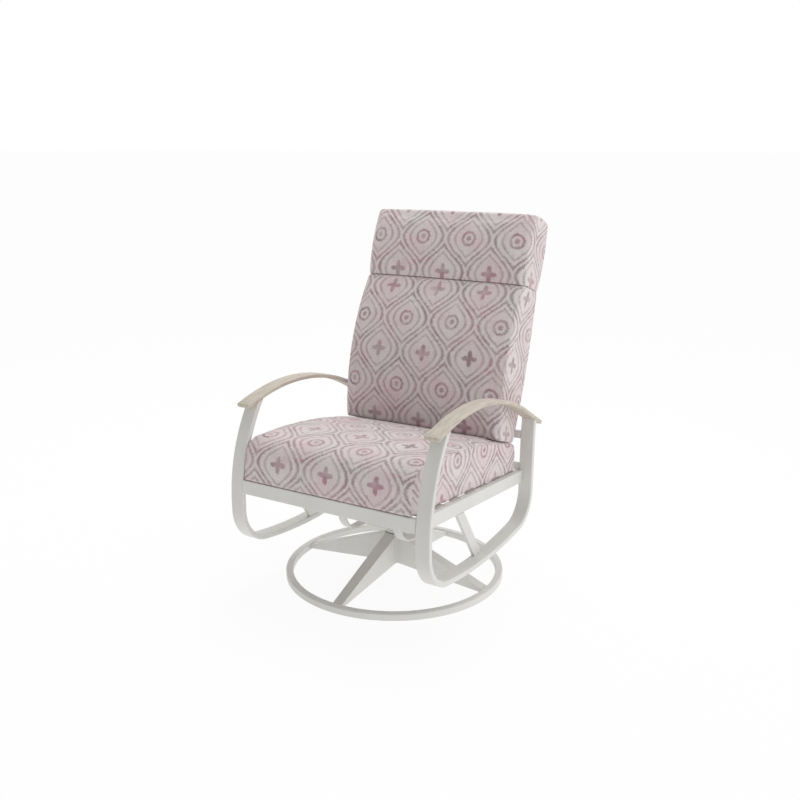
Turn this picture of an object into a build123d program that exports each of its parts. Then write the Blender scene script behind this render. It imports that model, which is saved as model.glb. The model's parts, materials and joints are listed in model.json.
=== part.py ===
from build123d import *
import os
from math import cos, radians, sin, sqrt, tan

# Swivel rocker patio chair, millimetres.
# Origin on the floor at the swivel axis, +Z up, the sitter looks along -Y, +X is the right of a
# viewer who stands in front of the chair.

# Base: a bar bent to a ring, four folded spokes and a square hub
RING_OUTER_RADIUS = 343.0
RING_BAR_WIDTH = 22.0
RING_BAR_HEIGHT = 20.5
RING_EDGE_CHAMFER = 2.5
SPOKE_SHEET = 3.0
SPOKE_RING_WIDTH = 31.0
SPOKE_HUB_WIDTH = 41.0
SPOKE_RING_DEPTH = 11.0
SPOKE_RING_LIFT = 5.5
HUB_WIDTH = 50.0
HUB_CORNER_RADIUS = 4.0
HUB_BOTTOM = 36.0
HUB_HEIGHT = 94.0
HUB_WELL_RADIUS = 22.8
HUB_WELL_DEPTH = 18.0
WELD_GAP = 0.2

# Swivel: a spindle in two flanged bushes, held from below by a washer and a nut
SPINDLE_RADIUS = 12.5
SPINDLE_FLANGE_RADIUS = 24.0
SPINDLE_FLANGE_HEIGHT = 12.0
SPINDLE_TAIL = 14.0
RUNNING_CLEARANCE = 0.05
AXIAL_CLEARANCE = 0.3
BUSH_WALL = 4.0
BUSH_LENGTH = 28.0
BUSH_FLANGE_RADIUS = 22.0
BUSH_FLANGE_HEIGHT = 3.0
PRESS_CLEARANCE = 0.02
WASHER_RADIUS = 21.0
WASHER_HEIGHT = 2.5
NUT_ACROSS_FLATS = 36.0
NUT_HEIGHT = 9.0
PLATE_WIDTH = 236.0
PLATE_FRONT = -26.0
PLATE_REAR = 58.0
PLATE_THICKNESS = 6.0
PLATE_CORNER_RADIUS = 14.0

# Rocker: two flat steel bands, each bent to a C that opens to the rear
SPRING_CENTRE_X = 98.0
SPRING_WIDTH = 28.0
SPRING_THICKNESS = 6.0
SPRING_OUTER_RADIUS = 80.0
SPRING_BEND_Y = -70.0
SPRING_LEG = 118.0
CLAMP_FRONT = -12.0
CLAMP_LENGTH = 58.0
CLAMP_THICKNESS = 6.0
BOLT_RADIUS = 4.0
BOLT_CLEARANCE = 0.3
BOLT_INSET = 14.0
BOLT_HEAD_FLATS = 13.0
BOLT_HEAD_HEIGHT = 5.5
BOLT_NUT_HEIGHT = 6.5
BOLT_TIP = 2.0

# Arm loops: one flat bar each, bent to front leg, runner and rear leg
LOOP_SIDE_CLEARANCE = 2.5
LOOP_BAR_WIDTH = 44.5
LOOP_BAR_THICKNESS = 16.0
LOOP_EDGE_CHAMFER = 2.0
LOOP_FRONT_Y = -375.0
LEG_ARC_RADIUS = 500.0
LEG_ARC_ANGLE = 33.0
LEG_TOP_RUN = 60.0
LEG_ARC_FOOT_Z = 290.0
LEG_STRAIGHT = 28.0
FRONT_BEND_RADIUS = 125.0
FRONT_BEND_ANGLE = 81.0
RUNNER_RADIUS = 1612.0
RUNNER_ANGLE = 17.0
REAR_BEND_RADIUS = 108.0
REAR_BEND_ANGLE = 80.3
REAR_STRAIGHT = 172.0
REAR_LEAN_RADIUS = 500.0
REAR_LEAN_ANGLE = 6.0
REAR_TOP_RUN = 50.0

# Arm caps: wood-look slats, arched along their length
CAP_WIDTH = 47.0
CAP_THICKNESS = 12.5
CAP_EDGE_CHAMFER = 2.5
CAP_TOP_Z = 613.5
CAP_TOP_Y = -110.0
CAP_RADIUS = 700.0
CAP_FRONT_ANGLE = 18.4
CAP_REAR_ANGLE = 28.6
CAP_REAR_STRAIGHT = 146.0

# Seat frame
RAIL_HEIGHT = 40.0
RAIL_WIDTH = 25.0
RAIL_OVERLAP = 12.5
RAIL_EDGE_RADIUS = 2.5
FRONT_RAIL_TOP = 359.0
FRONT_RAIL_SETBACK = 2.0
SEAT_SLOPE = 4.85
BRACE_WIDTH = 34.0
BRACE_THICKNESS = 10.0
BRACE_TOP_Y = -138.0
BRACE_FOOT_Y = -25.0
CROSS_BAR_WIDTH = 26.0
CROSS_BAR_HEIGHT = 12.0

# Back frame
BACK_RAIL_FRONT_Y = 288.0
BACK_RAIL_THICKNESS = 12.0
BACK_RAIL_HEIGHT = 25.0
LOWER_BACK_RAIL_Z = 313.0
UPPER_BACK_RAIL_Z = 420.0
BACK_RAKE = 17.84
UPRIGHT_WIDTH = 25.0
UPRIGHT_DEPTH = 20.0
UPRIGHT_SIDE_INSET = 35.0
UPRIGHT_FOOT_Z = 296.0
UPRIGHT_BEND_Z = 402.0
UPRIGHT_BEND_RADIUS = 150.0
UPRIGHT_LENGTH = 590.0
UPRIGHT_EDGE_CHAMFER = 2.5
TOP_RAIL_HEIGHT = 25.0

# Straps that carry the cushions
STRAP_WIDTH = 45.0
STRAP_THICKNESS = 2.5
SEAT_STRAP_COUNT = 7
SEAT_STRAP_FIRST = 36.0
SEAT_STRAP_PITCH = 92.0
SEAT_STRAP_INSET = 14.0
BACK_STRAP_COUNT = 7
BACK_STRAP_FIRST = 30.0
BACK_STRAP_PITCH = 78.0
SOFT_CLEARANCE = 0.4

# Cushions
SEAT_HALF_WIDTH = 291.0
SEAT_FRONT_OVERHANG = 12.0
SEAT_LENGTH = 629.0
SEAT_FRONT_HEIGHT = 121.0
SEAT_REAR_HEIGHT = 85.0
SEAT_TOP_CROWN = 36.0
SEAT_FRONT_CROWN = 8.0
SEAT_REAR_CROWN = 7.0
SEAT_NOSE_RADIUS = 60.0
BACK_SIDE_INSET = 6.0
BACK_FOOT = -61.0
BACK_LENGTH = 489.0
BACK_FOOT_THICKNESS = 129.0
BACK_HEAD_THICKNESS = 131.0
BACK_FRONT_CROWN = 45.0
BACK_REAR_CROWN = 18.0
BACK_ROLL_RADIUS = 25.0
HEADREST_LENGTH = 216.0
HEADREST_FOOT_THICKNESS = 133.0
HEADREST_TOP_THICKNESS = 128.0
HEADREST_FRONT_CROWN = 14.0
HEADREST_TOP_CROWN = 7.0
CUSHION_SIDE_DRAW = 10.0
CUSHION_SIDE_POWER = 10
CUSHION_SIDE_CROWN = 0.15
CUSHION_STATIONS = (0.0, 0.4, 0.7, 0.88, 0.96, 1.0)

# Places that follow from the sizes above
LOOP_INNER_X = SEAT_HALF_WIDTH + LOOP_SIDE_CLEARANCE
RAIL_OUTER_X = LOOP_INNER_X + RAIL_OVERLAP
BACK_HALF_WIDTH = SEAT_HALF_WIDTH - BACK_SIDE_INSET
UPRIGHT_OUTER_X = BACK_HALF_WIDTH - UPRIGHT_SIDE_INSET
RING_INNER_RADIUS = RING_OUTER_RADIUS - RING_BAR_WIDTH
RING_MIDDLE_RADIUS = RING_OUTER_RADIUS - RING_BAR_WIDTH / 2
HUB_TOP = HUB_BOTTOM + HUB_HEIGHT
WELL_TOP = HUB_BOTTOM + HUB_WELL_DEPTH
BUSH_BORE = SPINDLE_RADIUS + RUNNING_CLEARANCE
HUB_BORE = BUSH_BORE + BUSH_WALL
FLANGE_BOTTOM = HUB_TOP + BUSH_FLANGE_HEIGHT + AXIAL_CLEARANCE
PLATE_BOTTOM = FLANGE_BOTTOM + SPINDLE_FLANGE_HEIGHT
PLATE_TOP = PLATE_BOTTOM + PLATE_THICKNESS
SPRING_TOP = PLATE_TOP + 2 * SPRING_OUTER_RADIUS
BOLT_HOLE = BOLT_RADIUS + BOLT_CLEARANCE
BOLT_ROWS = (CLAMP_FRONT + BOLT_INSET, CLAMP_FRONT + CLAMP_LENGTH - BOLT_INSET)
LEG_INNER_Y = LOOP_FRONT_Y + LOOP_BAR_THICKNESS + WELD_GAP
CAP_CENTRE_X = LOOP_INNER_X + LOOP_BAR_WIDTH / 2
BACK_RAIL_REAR_Y = BACK_RAIL_FRONT_Y + BACK_RAIL_THICKNESS
SLOPE = radians(SEAT_SLOPE)
RAKE = radians(BACK_RAKE)


def save(name, *solids):
    """Write one sub-part, as a single solid or as a group of like solids."""
    shape = solids[0] if len(solids) == 1 else Compound(children=list(solids))
    export_step(shape, f"parts/{name}.step")


def mirrored(solid):
    """The left-hand twin of a right-hand piece."""
    return mirror(solid, about=Plane.YZ)


def upright_box(x, y, z):
    """A box from its three pairs of limits."""
    size = (x[1] - x[0], y[1] - y[0], z[1] - z[0])
    middle = ((x[0] + x[1]) / 2, (y[0] + y[1]) / 2, (z[0] + z[1]) / 2)
    return Pos(*middle) * Box(*size)


def walk(start, heading, steps):
    """Follow straight runs and tangent arcs in the YZ plane.

    A step is (length,) or (radius, turn), with a left turn positive. Each leg of the walk comes
    back as its places, a straight run with two and an arc with three, each place with its heading.
    """
    legs = []
    y, z = start
    for step in steps:
        angle = radians(heading)
        if len(step) == 1:
            far = (y + step[0] * cos(angle), z + step[0] * sin(angle))
            legs.append([((y, z), heading), (far, heading)])
        else:
            radius, turn = step
            side = 1 if turn > 0 else -1
            centre = (y - side * radius * sin(angle), z + side * radius * cos(angle))
            places = []
            for share in (0, 0.5, 1):
                bearing = heading + turn * share
                at = radians(bearing)
                point = (centre[0] + side * radius * sin(at), centre[1] - side * radius * cos(at))
                places.append((point, bearing))
            legs.append(places)
        (y, z), heading = legs[-1][-1]
    return legs


def beside(legs, distance):
    """The edges of a walk, moved to its left by a distance."""
    edges = []
    for places in legs:
        points = []
        for (y, z), heading in places:
            angle = radians(heading)
            points.append((y - distance * sin(angle), z + distance * cos(angle)))
        edges.append(Line(*points) if len(points) == 2 else ThreePointArc(*points))
    return edges


def bent_bar(legs, near, far, x_low, x_high):
    """A bar that follows a walk, between two distances to its left and two places in X."""
    one = beside(legs, near)
    other = beside(legs, far)
    ends = [Line(one[0] @ 0, other[0] @ 0), Line(one[-1] @ 1, other[-1] @ 1)]
    face = make_face([*one, *other, *ends])
    return extrude(Plane.YZ.offset(x_low) * face, x_high - x_low)


def hexagon(across_flats, height):
    """A nut or bolt head that stands on the XY plane."""
    return extrude(RegularPolygon(across_flats / 2, 6, major_radius=False), height)


# Base
def base_ring():
    """Bar with eased upper edges, bent to a ring that rests flat on the floor."""
    place = Plane.XZ * Pos(RING_MIDDLE_RADIUS, RING_BAR_HEIGHT / 2)
    ring = revolve(place * Rectangle(RING_BAR_WIDTH, RING_BAR_HEIGHT), Axis.Z)
    return chamfer(ring.edges().group_by(Axis.Z)[-1], RING_EDGE_CHAMFER)


def spoke(turn):
    """Sheet folded to a channel that is open below, shallow at the ring and deep at the hub."""
    outer = RING_INNER_RADIUS
    inner = HUB_WIDTH / 2 + WELD_GAP
    low = SPOKE_RING_LIFT

    def wedge(sheet, hub_bottom, ring_bottom):
        """The spoke's outline, less a sheet on its top and its two sides."""
        hub_top = HUB_TOP - SPOKE_SHEET - sheet
        ring_top = low + SPOKE_RING_DEPTH - sheet
        side = make_face(Polyline((inner, hub_bottom), (outer, ring_bottom), (outer, ring_top),
                                  (inner, hub_top), close=True))
        hub_half = SPOKE_HUB_WIDTH / 2 - sheet
        ring_half = SPOKE_RING_WIDTH / 2 - sheet
        plan = make_face(Polyline((inner, -hub_half), (outer, -ring_half), (outer, ring_half),
                                  (inner, hub_half), close=True))
        return extrude(Plane.XZ * side, SPOKE_HUB_WIDTH, both=True) & extrude(plan, 2 * HUB_TOP, both=True)

    channel = wedge(0, HUB_BOTTOM, low) - wedge(SPOKE_SHEET, 0, 0)
    inside_ring = Cylinder(RING_INNER_RADIUS - WELD_GAP, 2 * HUB_TOP)
    return Rot(0, 0, turn) * (channel & inside_ring)


def hub_tube():
    """Square block on end, bored for the spindle bushes, with a well below for the nut."""
    block = extrude(RectangleRounded(HUB_WIDTH, HUB_WIDTH, HUB_CORNER_RADIUS), HUB_HEIGHT)
    well = Cylinder(HUB_WELL_RADIUS, 2 * HUB_WELL_DEPTH)
    return Pos(0, 0, HUB_BOTTOM) * (block - Cylinder(HUB_BORE, 3 * HUB_HEIGHT) - well)


def bush():
    """Flanged plain bearing, flange up, its flange standing on the XY plane."""
    sleeve = Cylinder(HUB_BORE - PRESS_CLEARANCE, BUSH_LENGTH, align=(Align.CENTER, Align.CENTER, Align.MAX))
    flange = Cylinder(BUSH_FLANGE_RADIUS, BUSH_FLANGE_HEIGHT, align=(Align.CENTER, Align.CENTER, Align.MIN))
    return sleeve + flange - Cylinder(BUSH_BORE, 4 * BUSH_LENGTH)


# Swivel
def spindle():
    """Turned shaft with a broad flange on top and a plain tail for the nut."""
    bottom = WELL_TOP - BUSH_FLANGE_HEIGHT - SPINDLE_TAIL
    shaft = Pos(0, 0, bottom) * Cylinder(SPINDLE_RADIUS, FLANGE_BOTTOM - bottom,
                                         align=(Align.CENTER, Align.CENTER, Align.MIN))
    flange = Pos(0, 0, FLANGE_BOTTOM) * Cylinder(SPINDLE_FLANGE_RADIUS, SPINDLE_FLANGE_HEIGHT,
                                                 align=(Align.CENTER, Align.CENTER, Align.MIN))
    return shaft + flange


def retaining_washer():
    """Plain washer under the lower bush."""
    top = WELL_TOP - BUSH_FLANGE_HEIGHT - AXIAL_CLEARANCE
    ring = Cylinder(WASHER_RADIUS, WASHER_HEIGHT, align=(Align.CENTER, Align.CENTER, Align.MAX))
    return Pos(0, 0, top) * (ring - Cylinder(SPINDLE_RADIUS + PRESS_CLEARANCE, 4 * WASHER_HEIGHT))


def spindle_nut():
    """Lock nut on the spindle's tail."""
    bottom = WELL_TOP - BUSH_FLANGE_HEIGHT - AXIAL_CLEARANCE - WASHER_HEIGHT - NUT_HEIGHT
    body = hexagon(NUT_ACROSS_FLATS, NUT_HEIGHT)
    return Pos(0, 0, bottom) * (body - Cylinder(SPINDLE_RADIUS + PRESS_CLEARANCE, 4 * NUT_HEIGHT))


def bolt_places(z):
    """The four bolt axes through the springs and their clamps, at one height."""
    return [Pos(side * SPRING_CENTRE_X, row, z) for side in (-1, 1) for row in BOLT_ROWS]


def drilled(solid, z):
    """A piece with the spring bolts' holes through it."""
    return solid - [place * Cylinder(BOLT_HOLE, 8 * PLATE_THICKNESS) for place in bolt_places(z)]


def swivel_plate():
    """Flat plate with rounded corners, welded on the spindle's flange."""
    depth = PLATE_REAR - PLATE_FRONT
    blank = RectangleRounded(PLATE_WIDTH, depth, PLATE_CORNER_RADIUS)
    plate = Pos(0, (PLATE_REAR + PLATE_FRONT) / 2, PLATE_BOTTOM) * extrude(blank, PLATE_THICKNESS)
    return drilled(plate, PLATE_TOP)


def rocker_spring():
    """Right-hand band: rear end of the upper leg, half-round bend, rear end of the lower leg."""
    start = (SPRING_BEND_Y + SPRING_LEG, SPRING_TOP)
    quarter = (SPRING_OUTER_RADIUS, 90)
    legs = walk(start, 180, [(SPRING_LEG,), quarter, quarter, (SPRING_LEG,)])
    half = SPRING_WIDTH / 2
    band = bent_bar(legs, 0, SPRING_THICKNESS, SPRING_CENTRE_X - half, SPRING_CENTRE_X + half)
    return drilled(drilled(band, PLATE_TOP), SPRING_TOP)


def spring_clamp(bottom):
    """Right-hand clamp bar across one spring leg."""
    bar = extrude(Rectangle(SPRING_WIDTH, CLAMP_LENGTH), CLAMP_THICKNESS)
    placed = Pos(SPRING_CENTRE_X, CLAMP_FRONT + CLAMP_LENGTH / 2, bottom) * bar
    return drilled(placed, bottom)


def lower_bolts():
    """Bolts down through clamp, spring and plate."""
    top = PLATE_TOP + SPRING_THICKNESS + CLAMP_THICKNESS
    length = top - PLATE_BOTTOM + BOLT_NUT_HEIGHT + BOLT_TIP
    shank = Cylinder(BOLT_RADIUS, length, align=(Align.CENTER, Align.CENTER, Align.MAX))
    return [place * (shank + hexagon(BOLT_HEAD_FLATS, BOLT_HEAD_HEIGHT)) for place in bolt_places(top)]


def lower_nuts():
    """Nuts under the plate."""
    bore = Cylinder(BOLT_RADIUS + PRESS_CLEARANCE, 4 * BOLT_NUT_HEIGHT)
    nut = hexagon(BOLT_HEAD_FLATS, BOLT_NUT_HEIGHT) - bore
    return [place * nut for place in bolt_places(PLATE_BOTTOM - BOLT_NUT_HEIGHT)]


def upper_bolts():
    """Bolts up through clamp and spring into the tapped cross bars."""
    head = SPRING_TOP - SPRING_THICKNESS - CLAMP_THICKNESS
    length = SPRING_THICKNESS + CLAMP_THICKNESS + CROSS_BAR_HEIGHT - BOLT_TIP
    shank = Cylinder(BOLT_RADIUS, length, align=(Align.CENTER, Align.CENTER, Align.MIN))
    cap = Pos(0, 0, -BOLT_HEAD_HEIGHT) * hexagon(BOLT_HEAD_FLATS, BOLT_HEAD_HEIGHT)
    return [place * (shank + cap) for place in bolt_places(head)]


# Seat frame
def rail_top(y):
    """Height of the side rails' upper face, and of the straps' underside, at one place."""
    return FRONT_RAIL_TOP - (y - LEG_INNER_Y) * tan(SLOPE)


def cap_walk():
    """The upper line of an arm cap, from its front end to its rear end."""
    front = radians(CAP_FRONT_ANGLE)
    start = (CAP_TOP_Y - CAP_RADIUS * sin(front), CAP_TOP_Z - CAP_RADIUS * (1 - cos(front)))
    return walk(start, CAP_FRONT_ANGLE,
                [(CAP_RADIUS, -(CAP_FRONT_ANGLE + CAP_REAR_ANGLE)), (CAP_REAR_STRAIGHT,)])


def arm_cap():
    """Right-hand slat with eased edges."""
    low = CAP_CENTRE_X - CAP_WIDTH / 2
    slat = bent_bar(cap_walk(), 0, -CAP_THICKNESS, low, low + CAP_WIDTH)
    ends = slat.edges().filter_by(Axis.X).sort_by(Axis.Y)
    sides = slat.faces().filter_by(Axis.X)
    around = [edge for face in sides for edge in face.edges()]
    return chamfer([*ends[:2], *ends[-2:], *around], CAP_EDGE_CHAMFER)


def leg_top():
    """Where the middle line of a front leg meets the underside of its cap, found in a few steps."""
    arc = radians(LEG_ARC_ANGLE)
    radius = LEG_ARC_RADIUS - LOOP_BAR_THICKNESS / 2
    arc_y = LOOP_FRONT_Y + LEG_ARC_RADIUS - radius * cos(arc)
    arc_z = LEG_ARC_FOOT_Z + radius * sin(arc)
    y = arc_y
    for _ in range(8):
        y = arc_y + (cap_underside(y) - arc_z) * tan(arc)
    return y


def cap_room(middle):
    """The space above a flat cut that seats one end of an arm loop under its cap."""
    reach = 2 * LOOP_BAR_THICKNESS
    places = []
    for y in (middle - LOOP_BAR_THICKNESS, middle + LOOP_BAR_THICKNESS):
        places.append((y, cap_underside(y) - WELD_GAP))
    slope = (places[1][1] - places[0][1]) / (places[1][0] - places[0][0])
    low = (places[0][0] - reach, places[0][1] - reach * slope)
    high = (places[1][0] + reach, places[1][1] + reach * slope)
    top = CAP_TOP_Z + LOOP_BAR_WIDTH
    outline = make_face(Polyline(low, high, (high[0], top), (low[0], top), close=True))
    return extrude(Plane.YZ.offset(LOOP_INNER_X - reach) * outline, LOOP_BAR_WIDTH + 2 * reach)


def cap_underside(y):
    """Height of an arm cap's underside at one place, on its arch or on its straight rear end."""
    rear = radians(CAP_REAR_ANGLE)
    radius = CAP_RADIUS - CAP_THICKNESS
    along = min(y - CAP_TOP_Y, radius * sin(rear))
    arch = CAP_TOP_Z - CAP_RADIUS + sqrt(radius ** 2 - along ** 2)
    return arch - (y - CAP_TOP_Y - along) * tan(rear)


def loop_walk():
    """The outer line of an arm loop: front leg, front bend, runner, rear bend and rear leg."""
    arc = radians(LEG_ARC_ANGLE)
    start = (LOOP_FRONT_Y + LEG_ARC_RADIUS * (1 - cos(arc)) + LEG_TOP_RUN * sin(arc),
             LEG_ARC_FOOT_Z + LEG_ARC_RADIUS * sin(arc) + LEG_TOP_RUN * cos(arc))
    return walk(start, 270 - LEG_ARC_ANGLE, [
        (LEG_TOP_RUN,),
        (LEG_ARC_RADIUS, LEG_ARC_ANGLE),
        (LEG_STRAIGHT,),
        (FRONT_BEND_RADIUS, FRONT_BEND_ANGLE),
        (RUNNER_RADIUS, RUNNER_ANGLE),
        (REAR_BEND_RADIUS, REAR_BEND_ANGLE),
        (REAR_STRAIGHT,),
        (REAR_LEAN_RADIUS, -REAR_LEAN_ANGLE),
        (REAR_TOP_RUN,),
    ])


def arm_loop():
    """Right-hand bar with eased edges, its two ends cut to the underside of the cap."""
    bar = bent_bar(loop_walk(), 0, LOOP_BAR_THICKNESS, LOOP_INNER_X, LOOP_INNER_X + LOOP_BAR_WIDTH)
    sides = bar.faces().filter_by(Axis.X)
    long_edges = [edge for face in sides for edge in face.edges() if edge.length > 2 * LOOP_BAR_THICKNESS]
    bar = chamfer(long_edges, LOOP_EDGE_CHAMFER)
    rear_end = loop_walk()[-1][-1][0]
    return bar - cap_room(leg_top()) - cap_room(rear_end[0])


def runner_top(y):
    """Height of the runner's upper face at one place."""
    bend_end = 270 + FRONT_BEND_ANGLE - 360
    foot_y = LOOP_FRONT_Y + FRONT_BEND_RADIUS * (1 - cos(radians(FRONT_BEND_ANGLE)))
    foot_z = LEG_ARC_FOOT_Z - LEG_STRAIGHT - FRONT_BEND_RADIUS * sin(radians(FRONT_BEND_ANGLE))
    centre_y = foot_y - RUNNER_RADIUS * sin(radians(bend_end))
    centre_z = foot_z + RUNNER_RADIUS * cos(radians(bend_end))
    inner = RUNNER_RADIUS - LOOP_BAR_THICKNESS
    return centre_z - sqrt(inner ** 2 - (y - centre_y) ** 2)


def front_rail():
    """Flat tube between the front legs, flush with them and as high as the straps."""
    half = LOOP_INNER_X - WELD_GAP
    front = LOOP_FRONT_Y + FRONT_RAIL_SETBACK
    rear = LEG_INNER_Y - 2 * WELD_GAP
    top = FRONT_RAIL_TOP + STRAP_THICKNESS
    bar = upright_box((-half, half), (front, rear), (FRONT_RAIL_TOP - RAIL_HEIGHT, top))
    return fillet(bar.edges().filter_by(Axis.X), RAIL_EDGE_RADIUS)


def side_rail():
    """Right-hand tube that slopes down from the front leg to the rear leg and fits their curves."""
    front = LEG_INNER_Y - LOOP_BAR_THICKNESS / 2
    rear_bend = loop_walk()[-4]
    rear = rear_bend[-1][0][0] - LOOP_BAR_THICKNESS / 2
    rise = RAIL_HEIGHT / cos(SLOPE)
    outline = make_face(Polyline((front, rail_top(front)), (rear, rail_top(rear)),
                                 (rear, rail_top(rear) - rise), (front, rail_top(front) - rise), close=True))
    bar = extrude(Plane.YZ.offset(RAIL_OUTER_X - RAIL_WIDTH) * outline, RAIL_WIDTH)
    long_edges = [edge for edge in bar.edges() if edge.length > 2 * RAIL_HEIGHT]
    room = bent_bar(loop_walk(), 0, LOOP_BAR_THICKNESS + WELD_GAP,
                    RAIL_OUTER_X - 2 * RAIL_WIDTH, RAIL_OUTER_X + RAIL_WIDTH)
    return fillet(long_edges, RAIL_EDGE_RADIUS) - room


def brace():
    """Right-hand flat bar from under the side rail to the top of the runner."""
    rail_foot = RAIL_HEIGHT / cos(SLOPE) + WELD_GAP
    top = (BRACE_TOP_Y, rail_top(BRACE_TOP_Y) - rail_foot)
    foot = (BRACE_FOOT_Y, runner_top(BRACE_FOOT_Y) + WELD_GAP)
    length = sqrt((top[0] - foot[0]) ** 2 + (top[1] - foot[1]) ** 2)
    half = BRACE_WIDTH / 2 * length / (top[1] - foot[1])
    outline = make_face(Polyline(
        (top[0] - half, rail_top(top[0] - half) - rail_foot),
        (top[0] + half, rail_top(top[0] + half) - rail_foot),
        (foot[0] + half, runner_top(foot[0] + half) + WELD_GAP),
        (foot[0] - half, runner_top(foot[0] - half) + WELD_GAP), close=True))
    return extrude(Plane.YZ.offset(RAIL_OUTER_X - BRACE_THICKNESS) * outline, BRACE_THICKNESS)


def cross_bar(row):
    """Bar between the side rails, tapped for the spring bolts."""
    half = RAIL_OUTER_X - RAIL_WIDTH - WELD_GAP
    y = (row - CROSS_BAR_WIDTH / 2, row + CROSS_BAR_WIDTH / 2)
    bar = upright_box((-half, half), y, (SPRING_TOP, SPRING_TOP + CROSS_BAR_HEIGHT))
    holes = [Pos(side * SPRING_CENTRE_X, row, SPRING_TOP) * Cylinder(BOLT_RADIUS + PRESS_CLEARANCE,
                                                                    4 * CROSS_BAR_HEIGHT)
             for side in (-1, 1)]
    return fillet(bar.edges().filter_by(Axis.X), RAIL_EDGE_RADIUS) - holes


# Back frame
def back_rail(z):
    """Flat tube between the rear legs."""
    half = LOOP_INNER_X - WELD_GAP
    bar = upright_box((-half, half), (BACK_RAIL_FRONT_Y, BACK_RAIL_REAR_Y),
                      (z - BACK_RAIL_HEIGHT / 2, z + BACK_RAIL_HEIGHT / 2))
    return fillet(bar.edges().filter_by(Axis.X), RAIL_EDGE_RADIUS)


def back_plane(w, n, x=0.0):
    """A section plane across the back: w up along the uprights, n forward from their front face."""
    bend_y = BACK_RAIL_REAR_Y + WELD_GAP + UPRIGHT_BEND_RADIUS * (1 - cos(RAKE))
    bend_z = UPRIGHT_BEND_Z + UPRIGHT_BEND_RADIUS * sin(RAKE)
    origin = (x, bend_y + w * sin(RAKE) - n * cos(RAKE), bend_z + w * cos(RAKE) + n * sin(RAKE))
    return Plane(origin=origin, x_dir=(0, sin(RAKE), cos(RAKE)), z_dir=(1, 0, 0))


def back_upright():
    """Right-hand tube, upright behind the two rails and then raked back."""
    legs = walk((BACK_RAIL_REAR_Y + WELD_GAP, UPRIGHT_FOOT_Z), 90,
                [(UPRIGHT_BEND_Z - UPRIGHT_FOOT_Z,), (UPRIGHT_BEND_RADIUS, -BACK_RAKE), (UPRIGHT_LENGTH,)])
    bar = bent_bar(legs, 0, -UPRIGHT_DEPTH, UPRIGHT_OUTER_X - UPRIGHT_WIDTH, UPRIGHT_OUTER_X)
    sides = bar.faces().filter_by(Axis.X)
    long_edges = [edge for face in sides for edge in face.edges() if edge.length > 2 * UPRIGHT_DEPTH]
    return chamfer(long_edges, UPRIGHT_EDGE_CHAMFER)


def back_top_rail():
    """Tube between the uprights' upper ends."""
    half = UPRIGHT_OUTER_X - UPRIGHT_WIDTH - WELD_GAP
    section = back_plane(UPRIGHT_LENGTH - TOP_RAIL_HEIGHT / 2, -UPRIGHT_DEPTH / 2, -half)
    eased = chamfer(Rectangle(TOP_RAIL_HEIGHT, UPRIGHT_DEPTH).vertices(), UPRIGHT_EDGE_CHAMFER)
    return extrude(section * eased, 2 * half)


# Straps
def seat_straps():
    """Webbing laid across the side rails."""
    half = RAIL_OUTER_X - SEAT_STRAP_INSET
    straps = []
    for count in range(SEAT_STRAP_COUNT):
        y = LEG_INNER_Y + (SEAT_STRAP_FIRST + count * SEAT_STRAP_PITCH) * cos(SLOPE)
        place = Plane(origin=(0, y, rail_top(y)), x_dir=(1, 0, 0), z_dir=(0, sin(SLOPE), cos(SLOPE)))
        straps.append(extrude(place * Rectangle(2 * half, STRAP_WIDTH), STRAP_THICKNESS))
    return straps


def back_straps():
    """Webbing laid across the front of the uprights."""
    straps = []
    for count in range(BACK_STRAP_COUNT):
        w = BACK_STRAP_FIRST + count * BACK_STRAP_PITCH
        place = back_plane(w, STRAP_THICKNESS / 2, -UPRIGHT_OUTER_X)
        straps.append(extrude(place * Rectangle(STRAP_WIDTH, STRAP_THICKNESS), 2 * UPRIGHT_OUTER_X))
    return straps


# Cushions
def bulged(start, end, bulge):
    """An edge that swells to its left, or a straight one where there is no swell."""
    if bulge == 0:
        return Line(start, end)
    length = sqrt((end[0] - start[0]) ** 2 + (end[1] - start[1]) ** 2)
    middle = ((start[0] + end[0]) / 2, (start[1] + end[1]) / 2)
    left = ((start[1] - end[1]) / length, (end[0] - start[0]) / length)
    crest = (middle[0] + left[0] * bulge, middle[1] + left[1] * bulge)
    return ThreePointArc(start, crest, end)


def cushion(plane_at, corners, bulges, half_width, soft_corner=None, radius=0):
    """Loft a cushion across the chair: full in the middle, drawn in at its two sides.

    The corners run clockwise in the section plane, and each bulge belongs to the edge that leaves
    its corner. The edges draw in towards the sides, apart from the flat ones that rest on something.
    A soft corner is rolled over with its own radius.
    """
    middle = (sum(point[0] for point in corners) / 4, sum(point[1] for point in corners) / 4)
    stations = [-share for share in reversed(CUSHION_STATIONS[1:])] + list(CUSHION_STATIONS)
    sections = []
    for share in stations:
        draw = CUSHION_SIDE_DRAW * abs(share) ** CUSHION_SIDE_POWER
        crown = 1 - CUSHION_SIDE_CROWN * share ** 2
        points = []
        for along, up in corners:
            along += draw if along < middle[0] else -draw
            resting = up < middle[1] and bulges[3] == 0
            if not resting:
                up += draw if up < middle[1] else -draw
            points.append((along, up))
        edges = [bulged(points[i], points[(i + 1) % 4], bulges[i] * crown) for i in range(4)]
        section = make_face(edges)
        if soft_corner is not None:
            section = fillet(section.vertices().sort_by_distance(points[soft_corner])[0], radius)
        sections.append(plane_at(share * half_width) * section)
    return loft(sections, ruled=True)


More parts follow.
